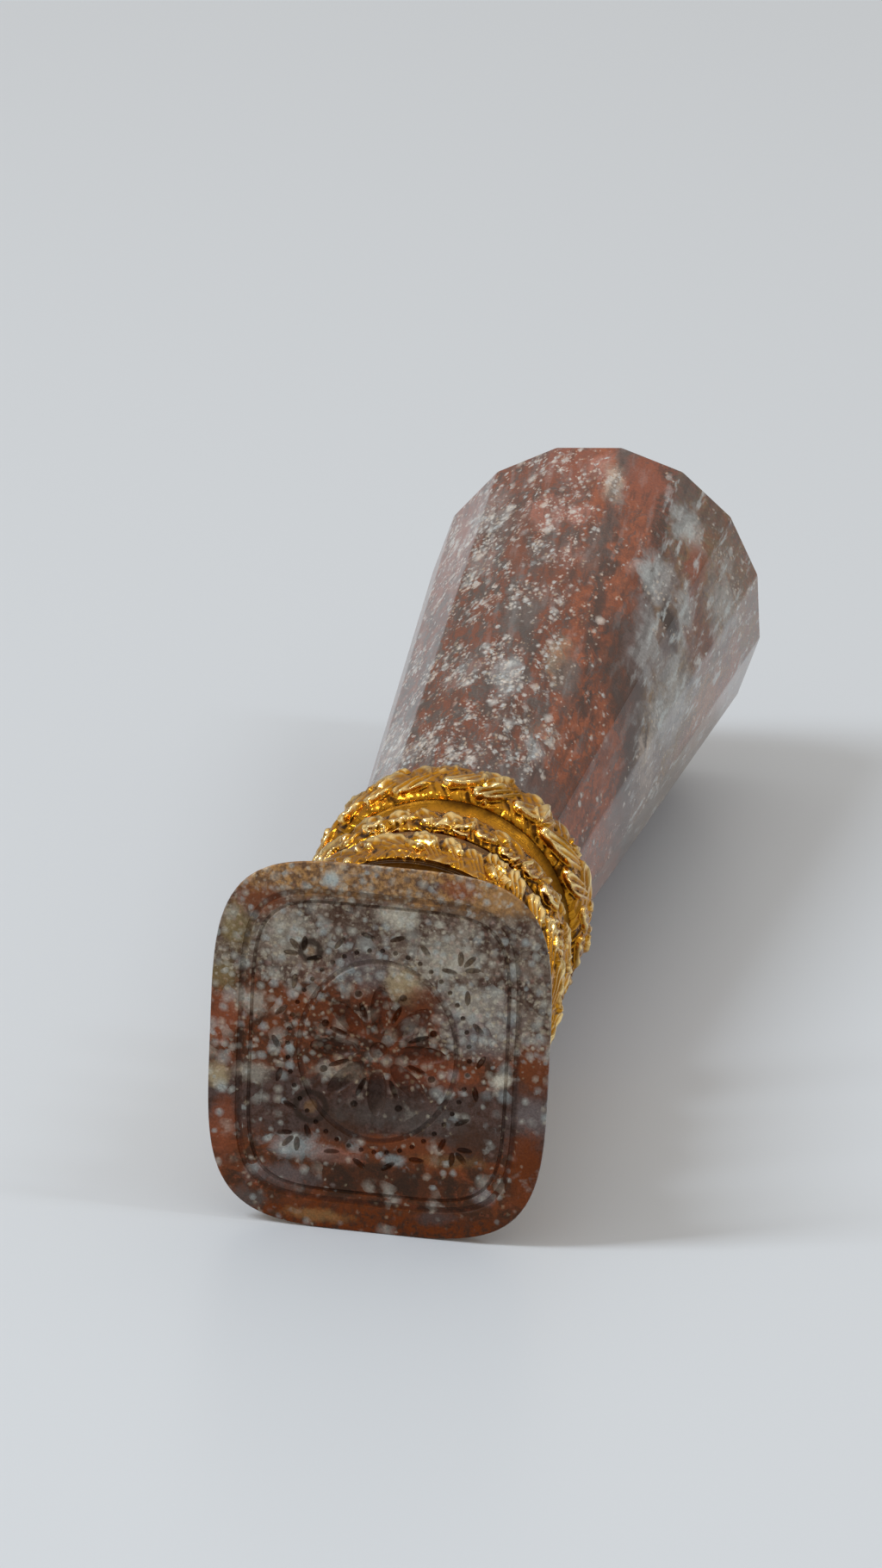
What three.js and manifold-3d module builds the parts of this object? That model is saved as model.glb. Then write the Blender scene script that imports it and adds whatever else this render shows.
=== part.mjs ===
// Antique desk seal: a faceted hardstone handle in a chased gilt mount, with an engraved
// hardstone matrix. It lies on its side: +Y runs from the engraved face to the far end of
// the handle, +Z is up and z = 0 is the table. All sizes are in millimetres.

import * as THREE from 'three';
import { mergeVertices } from 'three/addons/utils/BufferGeometryUtils.js';
import Module from 'manifold-3d';

const wasm = await Module();
wasm.setup();

// Matrix stone, the engraved plate at the front
const matrixWidth = 21.5;
const matrixHeight = 24.5;
const matrixCornerPower = 4.06; // 2 is an ellipse, higher is squarer
const matrixEdgeDepth = 0.25; // small bevel round the engraved face
const matrixBackBevelDepth = 2.4; // depth of the undercut behind the edge
const matrixTenonWidth = 16.6;
const matrixTenonHeight = 17.8;
const matrixTenonLength = 2.0;

// Engraving in the matrix: two border lines and a rosette in an oval
const engravingDepth = 0.4;
const borderInset = 2.0;
const borderLineWidth = 0.45;
const borderLineGap = 0.45;
const ovalWidth = 10.4;
const ovalHeight = 12.4;
const rosettePetals = 8;
const petalLength = 3.4;
const petalWidth = 1.5;
const rosetteEyeDiameter = 1.4;
const rosetteGap = 0.3;

// Setting behind the matrix
const bezelWall = 0.8;
const matrixCementThickness = 0.4;
const backPlateThickness = 1.2;
const backPlateMargin = 0.2; // how far the plate stands out past the bezel

// Mount, from the back plate to the handle
const neckLength = 4.6;
const neckFootDiameter = 18.8;
const neckWaistDiameter = 17.0;
const lowerRingLength = 4.2;
const lowerRingStandOut = 1.65; // how far a ring's crest stands out from the cup
const collarLength = 2.4;
const collarFilletLength = 1.4;
const collarStandOut = 1.2;
const collarGrooveStandOut = 0.4;
const middleRingLength = 3.4;
const middleRingStandOut = 1.5;
const cavettoLength = 3.2;
const cavettoRimStandOut = 0.9;
const cavettoWaistStandOut = 0.35;
const upperRingLength = 4.8;
const upperRingStandOut = 2.0;
const upperRingLip = 0.6; // how far the ring laps over the handle

// Cup and stud that hold the handle
const cupWall = 0.6;
const cupDepth = 9.6;
const handleCementThickness = 0.2;
const studDiameter = 2.8;
const studSeatDepth = 3.4; // blind hole in the neck
const studReach = 10.0; // length of the stud past the handle's shoulder

// Handle
const handleSides = 16;
const handleLength = 64.8; // from the shoulder to the far end
const handleShoulderDiameter = 15.2; // across corners
const handleEndDiameter = 24.6; // across corners
const handleEndBevel = 1.2;
const handleTenonDiameter = 13.0;
const handleTwist = THREE.MathUtils.degToRad(-5.2); // facets against the matrix

// Clearances
const slidingClearance = 0.1;
const boreClearance = 0.15;

// Relief of the chased rings
const lowerRingLeaves = 22;
const middleRingLeaves = 26;
const upperRingLeaves = 18;
const leafRelief = 0.35;
const leafVeinRelief = 0.12;

// Fineness
const outlineSteps = 48;
const roundSteps = 40;
const studSteps = 20;
const hollowSteps = 6;
const ringSteps = 88;
const ringProfileSteps = 7;

// Stations along +Y, measured from the engraved face
const matrixTenonStart = matrixEdgeDepth + matrixBackBevelDepth;
const matrixBack = matrixTenonStart + matrixTenonLength;
const backPlateFront = matrixBack + matrixCementThickness;
const neckFront = backPlateFront + backPlateThickness;
const lowerRingFront = neckFront + neckLength;
const collarFront = lowerRingFront + lowerRingLength;
const middleRingFront = collarFront + collarLength;
const cavettoFront = middleRingFront + middleRingLength;
const upperRingFront = cavettoFront + cavettoLength;
const upperRingBack = upperRingFront + upperRingLength;
const shoulder = upperRingBack - upperRingLip;
const cupFloor = shoulder - cupDepth;
const studFront = lowerRingFront - studSeatDepth;
const studBack = shoulder + studReach;
const overallLength = shoulder + handleLength;

// Radii that follow from one another
const cupBore = handleTenonDiameter / 2 + handleCementThickness + 2 * slidingClearance;
const cupRadius = cupBore + cupWall;
const ringBore = cupRadius + slidingClearance;
const studBore = studDiameter / 2 + boreClearance;
const handleEndRadius = handleEndDiameter / 2;
const handleShoulderRadius = handleShoulderDiameter / 2;
const handleTaper = (handleEndRadius - handleShoulderRadius) / (handleLength - handleEndBevel);
const lipBore = handleShoulderRadius + upperRingLip * handleTaper + boreClearance;

// How far the handle's lowest corner reaches below the axis, lying on its side
function handleReach() {
  let reach = 0;
  for (let corner = 0; corner < handleSides; corner += 1) {
    const angle = ((corner + 0.5) / handleSides) * 2 * Math.PI + handleTwist;
    reach = Math.max(reach, handleEndRadius * Math.cos(angle));
  }
  return reach;
}

const axisHeight = Math.max(matrixHeight / 2, handleReach());

const stone = new THREE.MeshStandardMaterial({ color: 0x7a4a38, roughness: 0.18, metalness: 0 });
const gilt = new THREE.MeshStandardMaterial({ color: 0xd9a441, roughness: 0.28, metalness: 1 });
const steel = new THREE.MeshStandardMaterial({ color: 0x9a958c, roughness: 0.4, metalness: 1 });
const cement = new THREE.MeshStandardMaterial({ color: 0x3a2418, roughness: 0.8, metalness: 0 });

const seal = new THREE.Group();

function addPiece(name, geometry, material) {
  const mesh = new THREE.Mesh(geometry, material);
  mesh.name = name;
  seal.add(mesh);
  return mesh;
}

// Points of a cushion outline in X and Z. Each side has a short flat at its middle,
// which lies on the named width or height.
function cushionPoint(step, halfWidth, halfHeight, power) {
  const angle = ((step + 0.5) / outlineSteps) * 2 * Math.PI;
  const flat = Math.cos(Math.PI / outlineSteps);
  const across = Math.cos(angle) / flat;
  const up = Math.sin(angle) / flat;
  return [
    halfWidth * Math.sign(across) * Math.abs(across) ** (2 / power),
    halfHeight * Math.sign(up) * Math.abs(up) ** (2 / power),
  ];
}

// A solid through cushion outlines, each level { y, halfWidth, halfHeight, power }.
// With looped set, the last level joins the first and the solid is a frame.
function cushionSolid(levels, looped) {
  const positions = [];
  const index = [];
  for (const level of levels) {
    for (let step = 0; step < outlineSteps; step += 1) {
      const [x, z] = cushionPoint(step, level.halfWidth, level.halfHeight, level.power);
      positions.push(x, level.y, z);
    }
  }
  const bands = looped ? levels.length : levels.length - 1;
  for (let band = 0; band < bands; band += 1) {
    const here = band * outlineSteps;
    const there = ((band + 1) % levels.length) * outlineSteps;
    for (let step = 0; step < outlineSteps; step += 1) {
      const next = (step + 1) % outlineSteps;
      index.push(here + step, there + step, there + next);
      index.push(here + step, there + next, here + next);
    }
  }
  if (!looped) {
    const front = positions.length / 3;
    const back = front + 1;
    const last = (levels.length - 1) * outlineSteps;
    positions.push(0, levels[0].y, 0, 0, levels[levels.length - 1].y, 0);
    for (let step = 0; step < outlineSteps; step += 1) {
      const next = (step + 1) % outlineSteps;
      index.push(front, step, next);
      index.push(back, last + next, last + step);
    }
  }
  const geometry = new THREE.BufferGeometry();
  geometry.setAttribute('position', new THREE.Float32BufferAttribute(positions, 3));
  geometry.setIndex(index);
  return geometry;
}

// A solid of revolution about Y. Each profile point is [radius, y].
function turned(profile, steps = roundSteps) {
  const points = profile.map(([radius, y]) => new THREE.Vector2(radius, y));
  return new THREE.LatheGeometry(points, steps);
}

function toSolid(geometry) {
  const bare = geometry.clone();
  bare.deleteAttribute('normal');
  bare.deleteAttribute('uv');
  const merged = mergeVertices(bare);
  return new wasm.Manifold(new wasm.Mesh({
    numProp: 3,
    vertProperties: new Float32Array(merged.attributes.position.array),
    triVerts: new Uint32Array(merged.index.array),
  }));
}

function toGeometry(solid) {
  const mesh = solid.getMesh();
  const geometry = new THREE.BufferGeometry();
  geometry.setAttribute('position', new THREE.BufferAttribute(mesh.vertProperties, 3));
  geometry.setIndex(new THREE.BufferAttribute(mesh.triVerts, 1));
  return geometry;
}

// A groove tool that follows a cushion outline, cut from the face inwards
function cushionGroove(halfWidth, halfHeight, power) {
  const inner = { halfWidth: halfWidth - borderLineWidth, halfHeight: halfHeight - borderLineWidth, power };
  const outer = { halfWidth, halfHeight, power };
  return cushionSolid([
    { ...outer, y: -engravingDepth },
    { ...outer, y: engravingDepth },
    { ...inner, y: engravingDepth },
    { ...inner, y: -engravingDepth },
  ], true);
}

function engraveMatrix(blank) {
  let solid = toSolid(blank);
  const halfWidth = matrixWidth / 2 - borderInset;
  const halfHeight = matrixHeight / 2 - borderInset;
  const linePitch = borderLineWidth + borderLineGap;
  for (const inset of [0, linePitch]) {
    const groove = cushionGroove(halfWidth - inset, halfHeight - inset, matrixCornerPower);
    solid = solid.subtract(toSolid(groove));
  }
  solid = solid.subtract(toSolid(cushionGroove(ovalWidth / 2, ovalHeight / 2, 2)));
  const petalCentre = rosetteEyeDiameter / 2 + rosetteGap + petalLength / 2;
  for (let petal = 0; petal < rosettePetals; petal += 1) {
    const geometry = new THREE.SphereGeometry(0.5, 10, 6);
    geometry.scale(petalWidth, 2 * engravingDepth, petalLength);
    geometry.translate(0, 0, petalCentre);
    geometry.rotateY((petal / rosettePetals) * 2 * Math.PI);
    solid = solid.subtract(toSolid(geometry));
  }
  const eye = new THREE.SphereGeometry(0.5, 12, 6);
  eye.scale(rosetteEyeDiameter, 2 * engravingDepth, rosetteEyeDiameter);
  return toGeometry(solid.subtract(toSolid(eye)));
}

function buildMatrix() {
  const edge = { halfWidth: matrixWidth / 2, halfHeight: matrixHeight / 2, power: matrixCornerPower };
  const face = {
    halfWidth: edge.halfWidth - matrixEdgeDepth,
    halfHeight: edge.halfHeight - matrixEdgeDepth,
    power: matrixCornerPower,
  };
  const tenon = { halfWidth: matrixTenonWidth / 2, halfHeight: matrixTenonHeight / 2, power: 3 };
  const blank = cushionSolid([
    { ...face, y: 0 },
    { ...edge, y: matrixEdgeDepth },
    { ...tenon, y: matrixTenonStart },
    { ...tenon, y: matrixBack },
  ], false);
  addPiece('matrix_stone', engraveMatrix(blank), stone);
}

function buildSetting() {
  const seat = {
    halfWidth: matrixTenonWidth / 2 + slidingClearance,
    halfHeight: matrixTenonHeight / 2 + slidingClearance,
    power: 3,
  };
  const outside = { halfWidth: seat.halfWidth + bezelWall, halfHeight: seat.halfHeight + bezelWall, power: 2.8 };
  const plate = {
    halfWidth: outside.halfWidth + backPlateMargin,
    halfHeight: outside.halfHeight + backPlateMargin,
    power: 2.8,
  };
  const bezelFront = matrixTenonStart + slidingClearance;
  addPiece('bezel', cushionSolid([
    { ...outside, y: bezelFront },
    { ...outside, y: backPlateFront },
    { ...seat, y: backPlateFront },
    { ...seat, y: bezelFront },
  ], true), gilt);
  const bed = { halfWidth: matrixTenonWidth / 2, halfHeight: matrixTenonHeight / 2, power: 3 };
  addPiece('matrix_cement', cushionSolid([
    { ...bed, y: matrixBack },
    { ...bed, y: backPlateFront },
  ], false), cement);
  addPiece('back_plate', cushionSolid([
    { ...plate, y: backPlateFront },
    { ...plate, y: neckFront },
  ], false), gilt);
}

// A hollow curve between two stations, as profile points from front to back
function hollow(front, back, frontRadius, backRadius, waistRadius) {
  const points = [];
  for (let step = 0; step <= hollowSteps; step += 1) {
    const part = step / hollowSteps;
    const rim = frontRadius + (backRadius - frontRadius) * part;
    const dip = Math.sin(Math.PI * part);
    points.push([rim + (waistRadius - rim) * dip, front + (back - front) * part]);
  }
  return points;
}

function buildNeck() {
  const foot = neckFootDiameter / 2;
  const waist = neckWaistDiameter / 2;
  const head = cupRadius + collarStandOut;
  const footFillet = neckLength * 0.2;
  addPiece('neck', turned([
    [0, neckFront],
    [foot, neckFront],
    [foot, neckFront + footFillet],
    ...hollow(neckFront + footFillet, lowerRingFront, foot - footFillet / 3, head, waist),
    [studBore, lowerRingFront],
    [studBore, studFront],
    [0, studFront],
  ]), gilt);
}

// A chased ring: a half-round moulding whose radius rises and falls in leaves.
// The leaves lean by the given number of leaf pitches from front to back.
function chasedRing(front, back, standOut, leaves, lean, backBore) {
  const profile = [[ringBore, front]];
  for (let step = 0; step <= ringProfileSteps; step += 1) {
    const part = step / ringProfileSteps;
    const swell = Math.sqrt(Math.max(0, 1 - (2 * part - 1) ** 4));
    const radius = ringBore + (standOut - leafRelief) * (0.45 + 0.55 * swell);
    profile.push([radius, front + (back - front) * part]);
  }
  profile.push([backBore, back]);
  if (backBore > ringBore) {
    profile.push([backBore, shoulder], [ringBore, shoulder]);
  }
  profile.push([ringBore, front]);
  const geometry = turned(profile, ringSteps);
  const position = geometry.attributes.position;
  for (let i = 0; i < position.count; i += 1) {
    const x = position.getX(i);
    const y = position.getY(i);
    const z = position.getZ(i);
    const radius = Math.hypot(x, z);
    const part = (y - front) / (back - front);
    const crest = Math.sin(Math.PI * Math.min(1, Math.max(0, part)));
    if (radius > Math.max(ringBore, backBore) + slidingClearance) {
      const turn = leaves * Math.atan2(x, z) + 2 * Math.PI * lean * part;
      const leaf = leafRelief * Math.abs(Math.cos(turn / 2)) * (0.35 + 0.65 * crest);
      const vein = leafVeinRelief * Math.cos(2 * turn) * crest;
      const scale = (radius + leaf + vein) / radius;
      position.setX(i, x * scale);
      position.setZ(i, z * scale);
    }
  }
  return geometry;
}

function buildMount() {
  addPiece('lower_chased_ring',
    chasedRing(lowerRingFront, collarFront, lowerRingStandOut, lowerRingLeaves, 1, ringBore), gilt);
  const collarTop = cupRadius + collarStandOut;
  const grooveTop = cupRadius + collarGrooveStandOut;
  addPiece('plain_collar', turned([
    [ringBore, collarFront],
    [collarTop, collarFront],
    [collarTop, collarFront + collarFilletLength],
    [grooveTop, collarFront + collarFilletLength],
    [grooveTop, middleRingFront],
    [ringBore, middleRingFront],
    [ringBore, collarFront],
  ]), gilt);
  addPiece('middle_chased_ring',
    chasedRing(middleRingFront, cavettoFront, middleRingStandOut, middleRingLeaves, 0, ringBore), gilt);
  const rim = cupRadius + cavettoRimStandOut;
  addPiece('cavetto_band', turned([
    [ringBore, cavettoFront],
    ...hollow(cavettoFront, upperRingFront, rim, rim, cupRadius + cavettoWaistStandOut),
    [ringBore, upperRingFront],
    [ringBore, cavettoFront],
  ]), gilt);
  addPiece('upper_chased_ring',
    chasedRing(upperRingFront, upperRingBack, upperRingStandOut, upperRingLeaves, -1, lipBore), gilt);
}

function buildCup() {
  addPiece('handle_cup', turned([
    [studBore, lowerRingFront],
    [cupRadius, lowerRingFront],
    [cupRadius, shoulder],
    [cupBore, shoulder],
    [cupBore, cupFloor],
    [studBore, cupFloor],
    [studBore, lowerRingFront],
  ]), gilt);
  addPiece('stud', turned([
    [0, studFront],
    [studDiameter / 2, studFront],
    [studDiameter / 2, studBack],
    [0, studBack],
  ], studSteps), steel);
  const cementOutside = cupBore - slidingClearance;
  const cementInside = cementOutside - handleCementThickness;
  const cementFloor = cupFloor + handleCementThickness;
  addPiece('handle_cement', turned([
    [studBore, cupFloor],
    [cementOutside, cupFloor],
    [cementOutside, shoulder - slidingClearance],
    [cementInside, shoulder - slidingClearance],
    [cementInside, cementFloor],
    [studBore, cementFloor],
    [studBore, cupFloor],
  ]), cement);
}

function buildHandle() {
  const tenonFront = cupFloor + handleCementThickness;
  const geometry = turned([
    [0, studBack + boreClearance],
    [studBore, studBack + boreClearance],
    [studBore, tenonFront],
    [handleTenonDiameter / 2, tenonFront],
    [handleTenonDiameter / 2, shoulder],
    [handleShoulderRadius, shoulder],
    [handleEndRadius, overallLength - handleEndBevel],
    [handleEndRadius - handleEndBevel, overallLength],
    [0, overallLength],
  ], handleSides);
  const handle = addPiece('handle_stone', geometry, stone);
  handle.rotation.y = Math.PI / handleSides + handleTwist;
}

buildMatrix();
buildSetting();
buildNeck();
buildMount();
buildCup();
buildHandle();

seal.position.set(0, -overallLength / 2, axisHeight);

export default seal;
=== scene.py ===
from math import cos, pi, radians, sin
from random import Random

import bmesh
import bpy
import numpy as np
from mathutils import Matrix, Vector, noise


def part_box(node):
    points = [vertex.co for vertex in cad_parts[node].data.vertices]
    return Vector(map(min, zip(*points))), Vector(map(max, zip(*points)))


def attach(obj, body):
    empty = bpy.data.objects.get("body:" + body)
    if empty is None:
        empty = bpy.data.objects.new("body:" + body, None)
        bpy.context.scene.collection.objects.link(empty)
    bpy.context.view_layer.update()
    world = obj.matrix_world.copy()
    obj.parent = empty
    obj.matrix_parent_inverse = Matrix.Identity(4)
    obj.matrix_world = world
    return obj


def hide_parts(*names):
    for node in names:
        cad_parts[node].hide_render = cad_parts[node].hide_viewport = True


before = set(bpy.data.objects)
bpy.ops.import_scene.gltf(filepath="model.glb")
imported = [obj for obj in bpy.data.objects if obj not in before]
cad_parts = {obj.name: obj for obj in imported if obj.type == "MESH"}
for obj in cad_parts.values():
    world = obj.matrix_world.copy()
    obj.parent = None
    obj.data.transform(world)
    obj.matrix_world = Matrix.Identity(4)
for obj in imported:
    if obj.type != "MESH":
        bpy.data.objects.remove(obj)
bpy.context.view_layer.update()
print("frame loaded")

mm = 0.001
faceLow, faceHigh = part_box("matrix_stone")
axisHeight = (faceLow[2] + faceHigh[2]) / 2
faceY = faceLow[1]  # the engraved face; stations are counted from here


def span(node):
    # where a frame node starts and ends along the seal, in mm from the engraved face
    return [(corner[1] - faceY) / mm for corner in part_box(node)]


# small helpers for modelling
def pickOnly(piece=None):
    if bpy.context.mode != "OBJECT":
        bpy.ops.object.mode_set(mode="OBJECT")
    bpy.ops.object.select_all(action="DESELECT")
    if piece:
        piece.select_set(True)
        bpy.context.view_layer.objects.active = piece


def applyModifier(piece, kind, **values):
    pickOnly(piece)
    modifier = piece.modifiers.new(kind.title(), kind)
    for key, value in values.items():
        setattr(modifier, key, value)
    bpy.ops.object.modifier_apply(modifier=modifier.name)


def softenEdges(piece, width, segments, degrees):
    applyModifier(piece, "BEVEL", width=width * mm, segments=segments, angle_limit=radians(degrees))


def settle(piece):
    # the place goes into the mesh, so that patterns on object coordinates stay put
    pickOnly(piece)
    bpy.ops.object.transform_apply(location=True, rotation=True, scale=True)


def finishPiece(piece, name, node, material, smooth=None):
    # edges that turn by less than the degrees of smooth look round
    if smooth:
        pickOnly(piece)
        bpy.ops.object.shade_smooth_by_angle(angle=radians(smooth))
    settle(piece)
    piece.name = name
    piece.data.name = name
    piece.data.materials.clear()
    piece.data.materials.append(material)
    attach(piece, "root")
    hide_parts(node)
    print("made", name, len(piece.data.polygons), "faces")


def cleanMesh(piece, gap=0.002):
    pickOnly(piece)
    bpy.ops.object.mode_set(mode="EDIT")
    bpy.ops.mesh.select_all(action="SELECT")
    bpy.ops.mesh.remove_doubles(threshold=gap * mm)
    bpy.ops.mesh.normals_make_consistent(inside=False)
    bpy.ops.object.mode_set(mode="OBJECT")


def emptyPiece(name):
    # an empty mesh with its origin on the seal's axis at the face, left open for editing
    pickOnly()
    bpy.ops.mesh.primitive_plane_add(size=mm, location=(0, faceY, axisHeight))
    piece = bpy.context.object
    piece.name = name
    bpy.ops.object.mode_set(mode="EDIT")
    bpy.ops.mesh.delete(type="VERT")
    return piece, bmesh.from_edit_mesh(piece.data)


def spinProfile(name, profile, steps):
    # profile points are (radius, station) in mm; a ring's last point joins its first
    piece, mesh = emptyPiece(name)
    corners = [mesh.verts.new((0, place * mm, radius * mm)) for radius, place in profile]
    ends = corners[1:] if profile[0][0] == 0 else corners[1:] + corners[:1]
    for first, second in zip(corners, ends):
        mesh.edges.new((first, second))
    bmesh.update_edit_mesh(piece.data)
    bpy.ops.object.mode_set(mode="OBJECT")
    applyModifier(piece, "SCREW", axis="Y", angle=2 * pi, steps=steps, render_steps=steps,
                  use_merge_vertices=True, merge_threshold=0.001 * mm)
    cleanMesh(piece)
    return piece


def cushionOutline(halfWidth, halfHeight, power, count):
    # evenly turned points of a cushion shape, in mm
    points = []
    for step in range(count):
        turn = 2 * pi * (step + 0.5) / count
        reach = (abs(cos(turn) / halfWidth) ** power + abs(sin(turn) / halfHeight) ** power) ** (-1 / power)
        points.append((reach * cos(turn), reach * sin(turn)))
    return points


def cushionBody(name, levels, count, looped=False):
    # a body through cushion outlines, each level (station, halfWidth, halfHeight, power)
    piece, mesh = emptyPiece(name)
    rows = []
    for place, halfWidth, halfHeight, power in levels:
        outline = cushionOutline(halfWidth, halfHeight, power, count)
        rows.append([mesh.verts.new((x * mm, place * mm, z * mm)) for x, z in outline])
    following = rows[1:] + rows[:1] if looped else rows[1:]
    for here, there in zip(rows, following):
        for step in range(count):
            after = (step + 1) % count
            mesh.faces.new((here[step], here[after], there[after], there[step]))
    if not looped:
        mesh.faces.new(rows[0])
        mesh.faces.new(rows[-1])
    bmesh.update_edit_mesh(piece.data)
    cleanMesh(piece)
    return piece


# small helpers for materials
stoneColors = {
    "rust": (0.145, 0.040, 0.012), "brick": (0.21, 0.060, 0.027), "rose": (0.34, 0.16, 0.13),
    "brown": (0.052, 0.022, 0.011), "dark": (0.026, 0.015, 0.010), "plum": (0.075, 0.052, 0.05),
    "violet": (0.14, 0.12, 0.13), "tan": (0.37, 0.21, 0.085), "olive": (0.20, 0.155, 0.075),
    "amber": (0.14, 0.030, 0.002), "chalk": (0.55, 0.55, 0.50), "cream": (0.50, 0.43, 0.28),
    "mist": (0.33, 0.41, 0.46), "slate": (0.080, 0.077, 0.078), "white": (0.62, 0.67, 0.67),
    "ice": (0.42, 0.55, 0.63),
}


def isOutput(value):
    return isinstance(value, bpy.types.NodeSocket)


def setInputs(made, values):
    for key, value in values.items():
        if isOutput(value):
            made.id_data.links.new(value, made.inputs[key])
        else:
            made.inputs[key].default_value = value


def addNode(kind, values, **settings):
    # the node joins the tree of the first output among its values
    tree = next(value.id_data for value in values.values() if isOutput(value))
    made = tree.nodes.new("ShaderNode" + kind)
    for key, value in settings.items():
        setattr(made, key, value)
    setInputs(made, values)
    return made


def calculate(operation, *values, clamp=False):
    return addNode("Math", dict(enumerate(values)), operation=operation, use_clamp=clamp).outputs[0]


def times(first, second, clamp=False):
    return calculate("MULTIPLY", first, second, clamp=clamp)


def scaled(value, gain, base):
    # the value times the gain, plus the base
    return calculate("MULTIPLY_ADD", value, gain, base)


def awayFrom(value, middle):
    return calculate("ABSOLUTE", calculate("SUBTRACT", value, middle))


def vectorMath(operation, *vectors, output=0):
    return addNode("VectorMath", dict(enumerate(vectors)), operation=operation).outputs[output]


def stretch(vector, amounts, shift=(0, 0, 0)):
    return vectorMath("MULTIPLY_ADD", vector, amounts, shift)


def axesOf(vector):
    return addNode("SeparateXYZ", {0: vector}).outputs


def asColor(color):
    # a colour is a name in stoneColors, three numbers or the output of a node
    if isinstance(color, str):
        color = stoneColors[color]
    return (*color, 1) if isinstance(color, tuple) else color


def mixColors(factor, first, second, blend="MIX"):
    return addNode("Mix", {"Factor": factor, "A": asColor(first), "B": asColor(second)},
                   data_type="RGBA", blend_type=blend).outputs["Result"]


def fade(value, low, high, first, second):
    # from the first colour to the second as the value goes from low to high
    return mixColors(ramp(value, low, high), first, second)


def tint(color, mask, strength, other):
    return mixColors(times(mask, strength), color, other)


def ramp(value, low, high):
    # 0 below low and 1 above high; the other way round when low is the larger
    values = {"Value": value, "From Min": low, "From Max": high, "To Min": 0.0, "To Max": 1.0}
    if low > high:
        values.update({"From Min": high, "From Max": low, "To Min": 1.0, "To Max": 0.0})
    return addNode("MapRange", values, interpolation_type="SMOOTHSTEP").outputs["Result"]


def cloud(vector, scale, detail=3.0, rough=0.55, warp=0.0):
    values = {"Vector": vector, "Scale": scale, "Detail": detail, "Roughness": rough, "Distortion": warp}
    return addNode("TexNoise", values).outputs["Fac"]


def streaky(vector, along, shift, scale, detail=4.0, rough=0.6, warp=0.0):
    # a cloud drawn out along the seal: the smaller the amount along, the longer the streaks
    return cloud(stretch(vector, (1, along, 1), shift), scale, detail, rough, warp)


def placeInMm(shader):
    # x to the right, y from the engraved face, z up from the seal's axis, all in mm
    place = shader.id_data.nodes.new("ShaderNodeTexCoord").outputs["Object"]
    return stretch(place, (1000, 1000, 1000), (0, -faceY / mm, -axisHeight / mm))


def wobbled(place, scale, amount):
    # the same places pushed about a little, so that round shapes are not perfect
    push = addNode("TexNoise", {"Vector": place, "Scale": scale}).outputs["Color"]
    push = stretch(push, (amount,) * 3, (-amount / 2,) * 3)
    return vectorMath("ADD", place, push)


def newGroup(name, inputs, outputs):
    # the inputs with their first values, and the outputs with their kinds
    group = bpy.data.node_groups.new(name, "ShaderNodeTree")
    for label, value in inputs.items():
        kind = "NodeSocketVector" if isinstance(value, tuple) else "NodeSocketFloat"
        socket = group.interface.new_socket(name=label, in_out="INPUT", socket_type=kind)
        socket.default_value = value
    for label, kind in outputs.items():
        group.interface.new_socket(name=label, in_out="OUTPUT", socket_type="NodeSocket" + kind)
    return group, group.nodes.new("NodeGroupInput").outputs, group.nodes.new("NodeGroupOutput")


def useGroup(group, values):
    return addNode("Group", values, node_tree=group).outputs


def newMaterial(name):
    material = bpy.data.materials.new(name)
    material.use_nodes = True
    return material, material.node_tree.nodes["Principled BSDF"]


def bumped(height, strength, depth):
    values = {"Height": height, "Strength": strength, "Distance": depth * mm}
    return addNode("Bump", values).outputs["Normal"]


# group: round pale spots in the stone, each a soft ball cut through by the surface
def buildSpots():
    group, given, result = newGroup(
        "stoneSpots", {"Vector": (0, 0, 0), "Scale": 1.5, "Size": 0.6, "Amount": 0.5, "Softness": 0.5},
        {"Mask": "Float", "Tone": "Float", "Eye": "Float"})
    cells = addNode("TexVoronoi", {"Vector": given["Vector"], "Scale": given["Scale"]})
    draw = addNode("SeparateColor", {"Color": cells.outputs["Color"]}).outputs
    radius = times(scaled(draw["Red"], 0.75, 0.45), given["Size"])
    inward = calculate("SUBTRACT", 1.0, calculate("DIVIDE", cells.outputs["Distance"], radius))
    edge = calculate("DIVIDE", inward, given["Softness"], clamp=True)
    chosen = calculate("SUBTRACT", given["Amount"], draw["Green"])
    chosen = times(chosen, 8.0, clamp=True)  # a few cells come out half strong
    marked = times(calculate("GREATER_THAN", draw["Blue"], 0.6), chosen)
    eye = times(ramp(inward, 0.66, 0.9), marked)
    setInputs(result, {"Mask": times(edge, chosen), "Tone": draw["Blue"], "Eye": eye})
    return group


# group: how near a place is to the middle of a patch, 1 inside it and 0 outside
def buildPatch():
    group, given, result = newGroup(
        "stonePatch", {"Vector": (0, 0, 0), "Centre": (0, 0, 0), "Reach": (1, 1, 1), "Edge": 0.0},
        {"Mask": "Float"})
    away = vectorMath("SUBTRACT", given["Vector"], given["Centre"])
    away = vectorMath("DIVIDE", away, given["Reach"])
    away = calculate("ADD", vectorMath("LENGTH", away, output="Value"), given["Edge"])
    setInputs(result, {"Mask": ramp(away, 1.4, 0.4)})
    return group


giltColors = {
    "recess": (0.07, 0.026, 0.003), "gold": (0.58, 0.255, 0.018),
    "crest": (1.0, 0.73, 0.31), "dirt": (0.12, 0.052, 0.012),
}


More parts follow.
